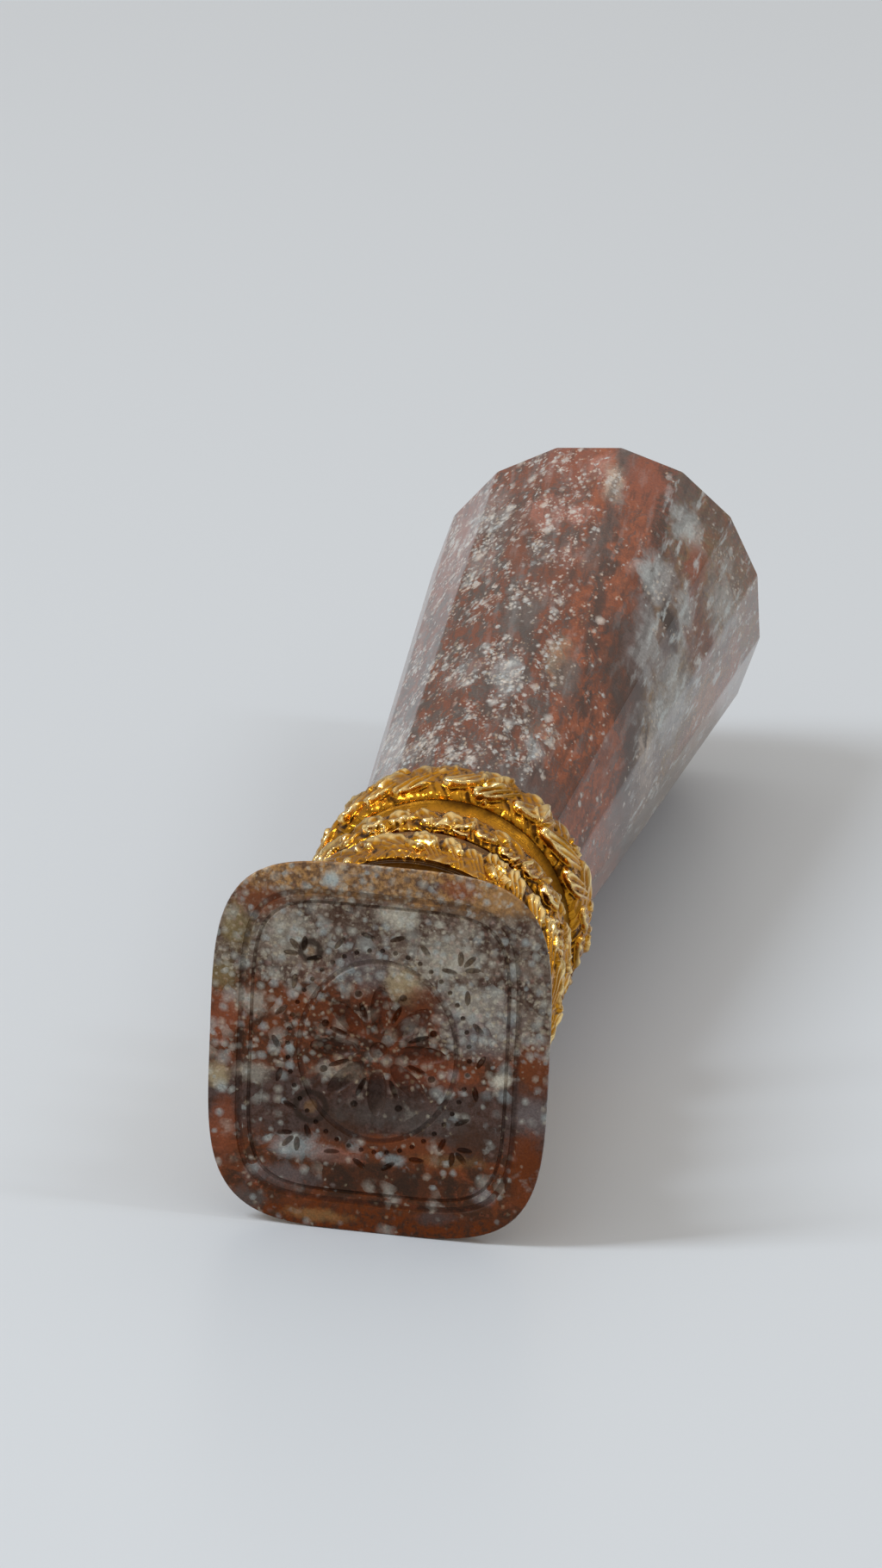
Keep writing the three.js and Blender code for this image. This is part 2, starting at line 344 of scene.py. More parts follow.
# group: gilding, dark brown in the recesses, partly patina and partly painted shade, and pale on the crests,
# partly rubbed and partly a painted highlight
def buildGilding():
    group, given, result = newGroup(
        "gilding", {"Vector": (0, 0, 0), "Relief": 0.6, "Grime": 0.5},
        {"Color": "Color", "Roughness": "Float", "Bump": "Float"})
    blotch = cloud(given["Vector"], 0.9, 4.0, 0.6)
    grain = cloud(given["Vector"], 5.5, 3.0, 0.6)
    height = scaled(calculate("SUBTRACT", blotch, 0.5), 0.5, given["Relief"])
    color = fade(height, -0.05, 0.42, giltColors["recess"], giltColors["gold"])
    color = fade(height, 0.55, 1.05, color, giltColors["crest"])
    color = tint(color, ramp(grain, 0.54, 0.68), given["Grime"], giltColors["dirt"])
    polish = scaled(ramp(height, 0.0, 0.6), -0.22, 0.31)
    setInputs(result, {"Color": color, "Roughness": scaled(grain, 0.12, polish), "Bump": grain})
    return group


spots = buildSpots()
patch = buildPatch()
gilding = buildGilding()
spotEye = 0.55  # how strongly a darker eye shows in a spot


def addPatches(place, edge, color, density, patches):
    # each patch tints the ground and can make the pale spots denser (or rarer, below zero)
    for name, centre, reach, strength, gain in patches:
        values = {"Vector": place, "Centre": centre, "Reach": reach, "Edge": edge}
        mask = useGroup(patch, values)["Mask"]
        color = tint(color, mask, strength, name)
        if gain:
            density = scaled(mask, gain, density)
    return color, density


def addSpots(color, vector, density, layers):
    # layers of (scale, size, share of the density, opacity, softness, first colour, second colour)
    for number, (scale, size, share, opacity, softness, first, second) in enumerate(layers):
        moved = stretch(vector, (1, 1, 1), (3.7 * number, 1.3 * number, 8.1 * number))
        made = useGroup(spots, {
            "Vector": moved, "Scale": scale, "Size": size, "Softness": softness,
            "Amount": times(density, share),
        })
        strength = scaled(made["Tone"], opacity / 2, opacity / 2)
        spotColor = mixColors(made["Tone"], first, second)
        color = tint(color, made["Mask"], strength, spotColor)
        color = tint(color, made["Eye"], spotEye * opacity, "plum")
    return color


def addGrain(color, grain, tone):
    # the last step: fine lighter and darker grain, and the tone of the whole stone
    shade = scaled(grain, 1.3, 0.35)
    shade = addNode("CombineColor", {0: shade, 1: shade, 2: shade}).outputs[0]
    return mixColors(1.0, mixColors(1.0, color, shade, "MULTIPLY"), tone, "MULTIPLY")


# the matrix stone: heights and places are in mm from the middle of the face;
# patches are (colour, x, z, wide, tall, strength, gain), where gain is what they add to the spots
matrixLooks = {
    "rimTop": 10.0, "stepAt": 3.6, "amberTop": -10.6,
    "paleBottom": (4.2, 0.6),  # on the left and on the right
    "plumBand": (-1.6, -6.0),
    "ground": [(0.15, 0.114, 0.096), (0.056, 0.030, 0.022)],
    "groundPale": (0.29, 0.26, 0.215), "rimDark": (0.11, 0.06, 0.035),
    "field": (9.2, 10.7), "cutShade": (0.46, 0.30, 0.20), "cutStrength": 0.55,
    "tone": (1.12, 1.06, 0.95), "gloss": 0.12,
    "balls": [(-4.55, 6.3, 0.62), (-4.15, -4.1, 0.95)],  # x, z and radius of dark shells round pale cores
    "spots": [
        (0.95, 0.64, 0.85, 0.70, 1.1, "chalk", "mist"), (1.65, 0.60, 0.95, 0.80, 1.0, "chalk", "mist"),
        (2.6, 0.50, 0.75, 0.70, 0.9, "cream", "chalk"), (1.5, 0.38, 1.20, 0.60, 1.0, "rose", "mist"),
        (2.4, 0.42, 1.10, 0.60, 0.9, "rose", "chalk"),
    ],
    "patches": [
        ("rust", -7.8, 9.3, 1.8, 1.1), ("olive", -9.3, 7.4, 1.0, 1.6, 0.7, 0.2),
        ("brown", -3.0, 8.6, 1.0, 0.8, 0.6, -0.3), ("plum", -2.1, 7.0, 1.8, 1.2, 0.45, -0.2),
        ("violet", -1.2, 5.3, 1.8, 1.1, 0.7, -0.3), ("chalk", 0.9, 9.0, 1.3, 0.8, 0.55, 0.5),
        ("cream", 1.4, 4.7, 1.1, 1.2, 0.6, 0.4), ("rust", 2.6, 3.9, 1.3, 0.7, 0.6, -0.3),
        ("violet", 6.3, 2.4, 2.6, 2.2, 0.55, 0.25), ("rust", -6.3, 2.8, 2.6, 0.9, 0.6, 0.1),
        ("chalk", -8.3, 2.6, 1.2, 0.9, 0.3, 0.4), ("chalk", 4.0, 6.7, 1.8, 1.4, 0.35, 0.5),
        ("chalk", -6.0, 7.2, 1.6, 1.6, 0.25, 0.4), ("rose", -4.0, 4.9, 1.6, 0.8, 0.15, 0.2),
        ("chalk", 5.8, 3.8, 1.6, 1.2, 0.3, 0.4), ("brown", 6.2, -5.4, 1.6, 1.3, 0.7, -0.3),
        ("brick", 3.4, -1.1, 3.4, 1.1, 0.6, 0.1), ("brown", -2.2, -5.0, 1.6, 1.0, 0.7, -0.25),
        ("mist", -3.5, 11.1, 0.6, 0.5, 0.8), ("plum", 2.8, 11.3, 0.9, 0.35, 0.9),
        ("brick", 4.7, 11.3, 1.2, 0.7, 0.7), ("tan", 7.4, 10.9, 1.6, 0.9, 0.6),
        ("olive", -10.0, 4.1, 0.9, 1.0, 0.6), ("brick", -10.0, 1.2, 1.0, 1.8, 0.8, 0.2),
        ("cream", -10.1, -2.6, 0.8, 0.8, 0.5, 0.3), ("rust", 9.9, 0.0, 1.2, 2.0, 0.85, -0.1),
        ("violet", 9.9, -3.4, 1.3, 1.3, 0.8), ("amber", 9.6, -6.5, 1.2, 2.4, 0.8),
        ("chalk", 7.8, -1.1, 0.7, 0.5, 0.8), ("mist", -5.0, -6.9, 1.8, 0.8, 0.55, 0.2),
        ("rose", -2.2, -7.3, 1.7, 0.55, 0.5), ("mist", 1.3, -7.2, 0.8, 0.4, 0.5),
        ("tan", 4.6, -6.9, 2.2, 0.5, 0.2), ("dark", 0.0, -8.7, 6.5, 1.3, 0.6, -0.1),
        ("violet", 7.0, -9.0, 0.8, 0.6, 0.8, 0.5), ("slate", -8.1, -10.8, 1.4, 0.8, 0.7),
        ("violet", -5.8, -8.9, 2.2, 0.8, 0.6), ("plum", 4.1, -10.8, 1.1, 0.5, 0.8),
        ("tan", -3.4, -11.4, 2.2, 0.45, 0.45), ("brick", -9.7, -6.2, 1.0, 2.2, 0.7, 0.15),
        ("slate", 1.5, -4.2, 4.2, 1.0, 0.5, -0.1), ("rust", 2.2, -6.0, 3.0, 0.6, 0.8, -0.1),
        ("chalk", -2.2, -1.6, 1.6, 0.6, 0.3, 0.4), ("chalk", -7.8, -2.2, 1.0, 0.8, 0.3, 0.35),
        ("slate", 2.2, 1.4, 0.8, 0.8, 0.7),
    ],
}


def onFace(name, x, z, wide, tall, strength=0.8, gain=0.0):
    return name, (x, 0, z), (wide, 4, tall), strength, gain


def buildMatrixStone():
    material, shader = newMaterial("matrixStone")
    looks = matrixLooks
    place = placeInMm(shader)
    split = axesOf(place)
    bent = wobbled(place, 0.5, 2.0)
    bentSplit = axesOf(bent)
    wander = calculate("SUBTRACT", cloud(place, 0.28, 4.0, 0.6), 0.5)
    level = scaled(wander, 2.5, bentSplit["Z"])
    fine = cloud(place, 2.2, 5.0, 0.65)
    medium = cloud(bent, 0.7, 5.0, 0.62, 0.3)
    broad = cloud(place, 0.45, 4.0, 0.6, 0.2)
    grain = cloud(place, 7.0, 3.0, 0.65)
    edge = scaled(cloud(bent, 1.0, 5.0, 0.62), 2.0, -1.0)
    mottled = ramp(medium, 0.36, 0.60)
    color = mixColors(mottled, "rust", "brown")
    color = fade(fine, 0.52, 0.72, color, "brick")
    # plum band across the lower half
    bandTop, bandEnd = looks["plumBand"]
    band = times(ramp(level, bandTop + 0.8, bandTop - 0.8), ramp(level, bandEnd - 0.8, bandEnd + 0.8))
    color = tint(color, band, 0.85, fade(fine, 0.42, 0.66, "plum", "dark"))
    # pale spotted layer in the upper half, reaching lower on the right
    left, right = looks["paleBottom"]
    across = scaled(wander, 3.0, bentSplit["X"])
    step = ramp(across, looks["stepAt"] - 1.8, looks["stepAt"] + 1.8)
    bottom = scaled(step, right - left, left)
    pale = ramp(calculate("SUBTRACT", level, bottom), -0.6, 0.6)
    ground = mixColors(mottled, *looks["ground"])
    ground = fade(fine, 0.50, 0.70, ground, looks["groundPale"])
    color = mixColors(pale, color, ground)
    # tan rim at the top, amber at the bottom
    top = ramp(level, looks["rimTop"] - 0.5, looks["rimTop"] + 0.6)
    color = tint(color, top, 0.95, fade(fine, 0.36, 0.62, "tan", looks["rimDark"]))
    low = ramp(level, looks["amberTop"] + 0.6, looks["amberTop"] - 0.5)
    color = mixColors(low, color, fade(fine, 0.4, 0.65, "amber", "brown"))
    # the spots are dense in the pale layer and scattered below it
    density = scaled(scaled(pale, 0.35, 0.25), ramp(broad, 0.34, 0.58), 0.20)
    speckled = times(ramp(level, -2.5, 1.0), ramp(level, 6.0, 4.0))
    deep = ramp(level, -1.0, -3.5)
    for mask, gain in ((pale, 0.18), (low, -0.12), (deep, -0.12), (speckled, 0.28)):
        density = scaled(mask, gain, density)
    patches = [onFace(*row) for row in looks["patches"]]
    color, density = addPatches(place, edge, color, density, patches)
    for x, z, radius in looks["balls"]:
        away = vectorMath("DISTANCE", wobbled(place, 2.5, 0.15), (x, 0, z), output="Value")
        color = tint(color, ramp(awayFrom(away, radius), 0.30, 0.10), 0.85, "dark")
        color = tint(color, ramp(away, radius * 0.55, radius * 0.3), 0.25, "tan")
        density = scaled(ramp(away, radius + 0.4, radius + 0.1), -0.7, density)
    color = addSpots(color, wobbled(place, 3.0, 0.2), density, looks["spots"])
    color = addGrain(color, grain, looks["tone"])
    # the cut lines: duller than the polished face, and darker with painted shade the deeper they go
    wide = calculate("DIVIDE", calculate("ABSOLUTE", split["X"]), looks["field"][0])
    tall = calculate("DIVIDE", calculate("ABSOLUTE", split["Z"]), looks["field"][1])
    inside = ramp(calculate("MAXIMUM", wide, tall), 1.02, 0.98)
    cut = times(times(split["Y"], 5.0, clamp=True), inside)
    cutColor = mixColors(1.0, color, looks["cutShade"], "MULTIPLY")
    setInputs(shader, {
        "IOR": 1.54, "Specular IOR Level": looks["gloss"],
        "Base Color": tint(color, cut, looks["cutStrength"], cutColor),
        "Roughness": scaled(cut, 0.2, scaled(fine, 0.16, 0.16)),
        "Normal": bumped(fine, 0.25, 0.02),
    })
    return material


handleSizes = {
    "sides": 16, "shoulder": 28.25, "shoulderRadius": 7.6, "endRadius": 12.3, "endBevel": 1.2,
    "tenonRadius": 6.5, "boreRadius": 1.55, "boreSpare": 0.15, "twist": -5.2, "edge": 0.12,
}
handleFront, handleEnd = span("handle_stone")
# patches are (colour, degrees from the top towards the right, mm along, wide, long, strength, gain)
handleLooks = {
    # the middle of the brick band is bandAt mm right of the axis at bandFrom, and more so nearer the mount
    "bandAt": 2.1, "bandLean": 0.087, "bandFrom": 90,
    "bandHalf": 2.6, "bandColor": (0.25, 0.074, 0.023),
    "tone": (1.17, 0.97, 0.84), "gloss": 0.32,
    "spots": [
        (1.0, 0.56, 0.65, 0.95, 0.9, "ice", "white"), (2.0, 0.58, 0.85, 1.0, 0.7, "white", "ice"),
        (3.2, 0.52, 0.90, 0.75, 0.7, "cream", "white"),
    ],
    "patches": [
        ("violet", -18, 90, 1.6, 3.0, 0.5, 0.4), ("brick", -9, 89, 2.0, 4.5, 0.8, -0.2),
        ("rose", 1, 88, 0.9, 3.0, 0.7, 0.5), ("chalk", 8.3, 85, 0.7, 3.5, 0.6, 0.6),
        ("slate", 9.5, 91, 0.8, 4.0, 0.85, -0.5), ("slate", 12, 79, 0.6, 7.0, 0.5, -0.3),
        ("brick", 18.5, 88, 1.6, 5.0, 0.8, -0.3), ("rose", -10, 79, 2.2, 3.0, 0.6, 0.4),
        ("rose", 1, 78, 1.3, 1.6, 0.5, 0.5), ("slate", -30, 78, 1.5, 4.5, 0.6, 0.4),
        ("mist", -31, 72, 1.2, 4.0, 0.25, 0.6), ("slate", -8, 71.5, 1.7, 2.2, 0.7, 0.3),
        ("rose", 4, 71, 1.1, 2.4, 0.4, 0.6), ("rust", -16.6, 72, 0.8, 6.0, 0.8, -0.4),
        ("slate", 12.4, 72.8, 0.9, 5.0, 0.6), ("rust", 4, 65, 2.0, 6.0, 0.5, -0.1),
        ("slate", -5, 59, 1.3, 4.0, 0.85, -0.2), ("slate", -1.5, 49, 1.7, 5.0, 0.4, 0.5),
        ("cream", 17.7, 53, 0.9, 4.0, 0.3, 0.5), ("slate", 24, 51, 0.9, 4.0, 0.8, -0.2),
        ("dark", 42, 59, 1.5, 11.0, 0.8, -0.4), ("brown", 56, 54, 1.1, 9.0, 0.6, -0.4),
        ("slate", -1, 34.5, 1.8, 2.8, 0.2, 0.7), ("slate", 24, 36, 1.1, 4.0, 0.2, 0.8),
        ("slate", -31, 38, 1.4, 3.0, 0.3, 0.65), ("plum", 35, 33, 2.0, 3.5, 0.8, -0.2),
        ("slate", 12, 31, 4.0, 4.0, 0.5, -0.3), ("chalk", 25, 41, 1.5, 2.0, 0.1, 0.6),
        ("brown", 10, 42, 1.8, 2.5, 0.6, -0.1), ("slate", 34, 87, 1.0, 8.0, 0.6, -0.4),
        ("ice", 38, 73, 1.3, 3.8, 0.85, 0.1), ("violet", 50, 66, 2.8, 12.0, 0.6),
        ("ice", 47, 64, 0.7, 6.0, 0.35), ("dark", 51, 69.5, 1.0, 2.6, 0.9),
        ("mist", 55, 73, 0.6, 6.0, 0.75), ("ice", 39, 84.5, 1.3, 3.2, 0.7, 0.2),
        ("brick", 49, 80, 1.0, 3.6, 0.85, -0.3), ("rust", 67, 73.5, 1.2, 6.0, 0.7),
        ("mist", 73, 61, 2.4, 11.0, 0.6), ("chalk", 78, 53, 0.7, 3.0, 0.7),
        ("dark", 70, 54, 0.25, 4.0, 0.8), ("olive", 63, 86, 3.2, 7.0, 0.3, 0.1),
        ("slate", 45, 89.5, 1.6, 3.0, 0.5), ("violet", 88, 50, 2.5, 18.0, 0.6),
        ("rose", 95, 75, 3.0, 12.0, 0.4), ("mist", -20, 49, 1.2, 3.0, 0.2, 0.5),
        ("mist", -39, 83, 1.8, 5.0, 0.35, 0.5), ("ice", 0, 48, 1.0, 3.4, 0.4, 0.1),
        ("ice", 25, 38, 0.6, 1.8, 0.4, 0.2), ("mist", 67, 82, 1.8, 5.0, 0.6),
        ("mist", -52, 40, 2.0, 8.0, 0.35, 0.4), ("rose", -52, 80, 2.5, 12.0, 0.3, 0.2),
    ],
}


def onHandle(name, degrees, along, wide, long, strength=0.8, gain=0.0):
    # the centre lies on the surface, in leaning places, where streaks run straight along the handle
    shoulder, narrow = handleSizes["shoulder"], handleSizes["shoulderRadius"]
    radius = narrow + (along - shoulder) / (handleEnd - shoulder) * (handleSizes["endRadius"] - narrow)
    x, z = radius * sin(radians(degrees)), radius * cos(radians(degrees))
    lean = (along - handleLooks["bandFrom"]) * handleLooks["bandLean"] - handleLooks["bandAt"]
    return name, (x + lean, along, z), (wide, long, max(wide, 2.5)), strength, gain


def buildHandleStone():
    material, shader = newMaterial("handleStone")
    looks = handleLooks
    place = placeInMm(shader)
    split = axesOf(place)
    start = -looks["bandFrom"] * looks["bandLean"] - looks["bandAt"]
    lean = scaled(split["Y"], looks["bandLean"], start)
    across = calculate("ADD", split["X"], lean)  # 0 along the middle of the brick band
    leaning = addNode("CombineXYZ", {0: across, 1: split["Y"], 2: split["Z"]}).outputs[0]
    bent = wobbled(leaning, 0.45, 1.6)
    streaks = streaky(bent, 0.13, (0, 0, 0), 0.6, 5.0, 0.62, 0.3)
    fineStreaks = streaky(bent, 0.2, (5, 2, 9), 1.5, 5.0, 0.65)
    fine = cloud(place, 2.0, 5.0, 0.65)
    grain = cloud(place, 5.5, 3.0, 0.65)
    wander = calculate("SUBTRACT", streaky(leaning, 0.3, (0, 0, 0), 0.35), 0.5)
    shifted = scaled(wander, 3.2, across)
    half = looks["bandHalf"]
    inBand = ramp(calculate("ABSOLUTE", shifted), half + 0.7, half - 0.7)
    onLeft = ramp(shifted, -1.6, -3.2)
    onRight = ramp(shifted, 2.4, 3.6)
    color = fade(fineStreaks, 0.44, 0.62, "rust", "brown")
    brickTone = fade(fineStreaks, 0.38, 0.62, looks["bandColor"], "rust")
    color = mixColors(inBand, color, brickTone)
    rightTone = fade(streaks, 0.32, 0.56, "slate", "olive")
    rightTone = fade(fineStreaks, 0.53, 0.70, rightTone, "violet")
    color = tint(color, onRight, 0.85, rightTone)
    # dark veins that follow the streaks
    color = tint(color, ramp(awayFrom(streaks, 0.52), 0.035, 0.006), 0.7, "plum")
    broken = times(ramp(split["Y"], 32, 50), ramp(fineStreaks, 0.36, 0.56))
    sideVein = times(ramp(awayFrom(shifted, -0.5), 0.8, 0.1), broken)
    color = tint(color, sideVein, 0.75, "dark")
    color = tint(color, ramp(awayFrom(shifted, 2.9), 0.8, 0.2), 0.7, "dark")
    greyLeft = times(onLeft, ramp(fineStreaks, 0.46, 0.60))
    color = tint(color, greyLeft, 0.6, "slate")
    # the far end is redder
    far = times(ramp(split["Y"], 70, 88), ramp(fine, 0.40, 0.60))
    color = tint(color, far, 0.6, "brick")
    # white and pale blue spots, thickest on the left
    clumps = ramp(streaky(bent, 0.35, (2, 7, 3), 0.5), 0.40, 0.60)
    density = times(clumps, scaled(onLeft, 0.42, 0.12))
    density = scaled(onLeft, 0.08, calculate("ADD", density, 0.13))
    edge = scaled(streaky(bent, 0.3, (0, 0, 0), 0.9, 3.0, 0.5), 2.2, -1.1)
    patches = [onHandle(*row) for row in looks["patches"]]
    color, density = addPatches(bent, edge, color, density, patches)
    # wisps and dark threads drawn out along the handle, strongest in the cloud on the right
    wisps = streaky(leaning, 0.09, (9, 4, 1), 1.3)
    color = tint(color, ramp(wisps, 0.53, 0.66), scaled(onRight, 0.6, 0.1), "ice")
    color = tint(color, ramp(wisps, 0.47, 0.38), scaled(onRight, -0.1, 0.4), "dark")
    strands = ramp(streaky(bent, 0.28, (4, 1, 6), 1.1), 0.44, 0.56)
    density = times(density, scaled(strands, 1.1, 0.35))
    milky = times(ramp(density, 0.6, 1.2), ramp(fine, 0.46, 0.60))
    color = tint(color, milky, 0.4, "mist")
    # the spots are longer along the handle
    drawnOut = stretch(wobbled(place, 2.4, 0.3), (1.35, 0.6, 1.35))
    color = addSpots(color, drawnOut, density, looks["spots"])
    setInputs(shader, {
        "IOR": 1.54, "Specular IOR Level": looks["gloss"],
        "Base Color": addGrain(color, grain, looks["tone"]),
        "Roughness": scaled(fine, 0.14, 0.10),
        "Normal": bumped(fine, 0.15, 0.02),
    })
    return material


def buildGilt(name, relief, grime, turned=True):
    # relief is None where a tone of relief and painted shade is stored on the mesh, or one number on plain
    # work
    material, shader = newMaterial(name)
    place = placeInMm(shader)
    if relief is None:
        stored = shader.id_data.nodes.new("ShaderNodeAttribute")
        stored.attribute_name = "relief"
        relief = stored.outputs["Fac"]
    gilt = useGroup(gilding, {"Vector": place, "Relief": relief, "Grime": grime})
    surface = gilt["Bump"]
    if turned:
        # fine lines left by turning, running round the piece
        lines = addNode("CombineXYZ", {1: axesOf(place)["Y"]}).outputs[0]
        surface = calculate("ADD", surface, cloud(lines, 9.0, 2.0, 0.7))
    setInputs(shader, {
        "Metallic": 1.0, "Base Color": gilt["Color"], "Roughness": gilt["Roughness"],
        "Normal": bumped(surface, 0.5, 0.03),
    })
    return material


def buildHidden(name, first, second, scale, roughness, metal):
    material, shader = newMaterial(name)
    grain = cloud(placeInMm(shader), scale, 4.0, 0.6)
    setInputs(shader, {
        "Metallic": metal, "Base Color": fade(grain, 0.35, 0.65, first, second),
        "Roughness": scaled(grain, 0.2, roughness - 0.1), "Normal": bumped(grain, 0.4, 0.03),
    })
    return material


matrixStone = buildMatrixStone()
handleStone = buildHandleStone()
giltChased = buildGilt("giltChased", None, 0.25, turned=False)
giltPlain = buildGilt("giltPlain", 0.36, 0.35)
giltBand = buildGilt("giltBand", None, 0.5)
# the two darker copies of the plain gilding are painted shade: the neck behind the matrix and the collar
# between the rings
giltNeckShade = buildGilt("giltNeckShade", -0.04, 0.6)
giltShade = buildGilt("giltShade", 0.14, 0.6)
studSteel = buildHidden("studSteel", (0.42, 0.41, 0.39), (0.55, 0.53, 0.50), 4.0, 0.4, 1.0)
settingCement = buildHidden("settingCement", (0.07, 0.042, 0.028), (0.13, 0.08, 0.05), 2.5, 0.8, 0.0)
print("materials made")

hiddenNodes = {
    "handle_cup": giltPlain, "stud": studSteel,
    "handle_cement": settingCement, "matrix_cement": settingCement,
}
for nodeName, material in hiddenNodes.items():
    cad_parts[nodeName].data.materials.clear()
    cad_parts[nodeName].data.materials.append(material)

# the matrix: a cushion plate, undercut behind its edge, with a tenon at the back
matrixSizes = {
    "halfWidth": 10.75, "halfHeight": 12.25, "power": 4.06, "steps": 176,
    "softEdge": [(0, 0.14), (0.04, 0.04), (0.14, 0), (0.27, 0)],  # station and step in from the edge
    "tenonStart": 2.65, "tenon": (8.3, 8.9, 3.0),
}
engraving = {
    "depth": 0.14, "borders": [(1.75, 0.46), (2.5, 0.26)],  # inset from the edge and width of each line
    "borderPower": 5.2, "borderSteps": 144,
    "oval": (5.0, 6.0), "ovalWidth": 0.4, "ovalSteps": 96,
    "petals": 8, "petalRing": (2.75, 2.75), "sepalRing": (2.7, 2.7), "dotRing": (3.7, 4.0),
    "beads": 44, "beadRing": (5.75, 6.75),
    "leaves": 22, "leafRing": (6.5, 7.7), "leafSlant": 0.5,
    "corner": (4.95, 5.95), "cornerTurns": (-0.75, 0.0, 0.75), "cornerHeading": 0.72,
    "cornerReach": 0.85, "cornerDrop": 0.1,
}
drops = {  # the length, width, depth and fineness of each kind of hollow
    "dish": (11.5, 9.5, 0.16, 16), "middle": (1.3, 1.3, 0.55, 8), "petal": (3.3, 1.35, 0.55, 8),
    "sepal": (1.5, 0.42, 0.45, 6), "dot": (0.55, 0.55, 0.42, 6), "bead": (0.36, 0.36, 0.2, 5),
    "leaf": (1.05, 0.4, 0.26, 6), "cornerLeaf": (1.05, 0.42, 0.28, 6),
}
halfWidth, halfHeight = matrixSizes["halfWidth"], matrixSizes["halfHeight"]
matrixLevels = [(place, halfWidth - inset, halfHeight - inset, matrixSizes["power"])
                for place, inset in matrixSizes["softEdge"]]
for place in (matrixSizes["tenonStart"], span("matrix_stone")[1]):
    matrixLevels.append((place, *matrixSizes["tenon"]))
matrixPiece = cushionBody("matrixStone", matrixLevels, matrixSizes["steps"])
settle(matrixPiece)
cutters = []


def cutLine(outline, width):
    # a round-bottomed groove that follows a closed outline in the face
    pickOnly()
    curve = bpy.data.curves.new("cutLine", "CURVE")
    curve.dimensions = "3D"
    spline = curve.splines.new("POLY")
    spline.points.add(len(outline) - 1)
    for point, (x, z) in zip(spline.points, outline):
        point.co = (x * mm, 0, z * mm, 1)
    spline.use_cyclic_u = True
    curve.bevel_depth = width / 2 * mm
    curve.bevel_resolution = 2
    tool = bpy.data.objects.new("cutLine", curve)
    bpy.context.collection.objects.link(tool)
    tool.location = (0, faceY, axisHeight)
    tool.scale = (1, engraving["depth"] / (width / 2), 1)
    pickOnly(tool)
    bpy.ops.object.convert(target="MESH")
    tool = bpy.context.object
    settle(tool)
    cutters.append(tool)


def cutDrop(kind, x=0, z=0, turn=0):
    # the hollow left by one touch of a small wheel
    length, width, depth, rings = drops[kind]
    pickOnly()
    bpy.ops.mesh.primitive_uv_sphere_add(
        segments=rings * 2, ring_count=rings, radius=1, location=(x * mm, faceY, axisHeight + z * mm),
        rotation=(0, turn, 0), scale=(width / 2 * mm, depth * mm, length / 2 * mm))
    tool = bpy.context.object
    settle(tool)
    cutters.append(tool)


def onOval(ring, turn):
    # x and z of a place on an oval, turned from the top
    return ring[0] * sin(turn), ring[1] * cos(turn)


for inset, width in engraving["borders"]:
    half = (halfWidth - inset - width / 2, halfHeight - inset - width / 2)
    cutLine(cushionOutline(*half, engraving["borderPower"], engraving["borderSteps"]), width)
cutLine(cushionOutline(*engraving["oval"], 2, engraving["ovalSteps"]), engraving["ovalWidth"])
cutDrop("dish")
cutDrop("middle")
for petal in range(engraving["petals"]):
    turn = 2 * pi * petal / engraving["petals"]
    between = turn + pi / engraving["petals"]
    cutDrop("petal", *onOval(engraving["petalRing"], turn), turn)
    cutDrop("sepal", *onOval(engraving["sepalRing"], between), between)
    cutDrop("dot", *onOval(engraving["dotRing"], between))
for bead in range(engraving["beads"]):
    cutDrop("bead", *onOval(engraving["beadRing"], 2 * pi * bead / engraving["beads"]))
for leaf in range(engraving["leaves"]):
    turn = 2 * pi * (leaf + 0.5) / engraving["leaves"]
    slant = engraving["leafSlant"] if leaf % 2 else -engraving["leafSlant"]
    cutDrop("leaf", *onOval(engraving["leafRing"], turn), turn + pi / 2 + slant)
for across in (-1, 1):
    for up in (-1, 1):
        for turn in engraving["cornerTurns"]:
            heading = engraving["cornerHeading"] + turn
            reach = engraving["cornerReach"] - engraving["cornerDrop"] * abs(turn)
            cutDrop("cornerLeaf", across * (engraving["corner"][0] + reach * sin(heading)),
                    up * (engraving["corner"][1] + reach * cos(heading)), across * up * heading)
pickOnly(cutters[0])
for tool in cutters:
    tool.select_set(True)
bpy.ops.object.join()
cutterSet = bpy.context.object
cleanMesh(cutterSet, 0.0005)
applyModifier(matrixPiece, "BOOLEAN", operation="DIFFERENCE", object=cutterSet, solver="EXACT",
              use_self=True)
bpy.data.objects.remove(cutterSet)
finishPiece(matrixPiece, "matrixStone", "matrix_stone", matrixStone, 35)

# the thin frame and the plate behind the matrix, with softened edges
settingSizes = {
    "bezelWall": 0.8, "gap": 0.1, "margin": 0.2, "power": 2.8, "steps": 128,
    "bezelSoft": 0.12, "plateSoft": 0.3,
}


def widened(outline, amount):
    # the same outline, larger all round, with the setting's corners
    return outline[0] + amount, outline[1] + amount, settingSizes["power"]


tenonWide, tenonTall, tenonPower = matrixSizes["tenon"]
seat = (tenonWide + settingSizes["gap"], tenonTall + settingSizes["gap"], tenonPower)
outside = widened(seat, settingSizes["bezelWall"])
bezelFront, bezelBack = span("bezel")
bezelPiece = cushionBody("bezelFrame", [
    (bezelFront, *outside), (bezelBack, *outside), (bezelBack, *seat), (bezelFront, *seat),
], settingSizes["steps"], looped=True)
softenEdges(bezelPiece, settingSizes["bezelSoft"], 3, 50)
finishPiece(bezelPiece, "bezelFrame", "bezel", giltPlain, 40)
plate = widened(outside, settingSizes["margin"])
plateLevels = [(place, *plate) for place in span("back_plate")]
platePiece = cushionBody("backPlate", plateLevels, settingSizes["steps"])
softenEdges(platePiece, settingSizes["plateSoft"], 4, 50)
finishPiece(platePiece, "backPlate", "back_plate", giltPlain, 40)

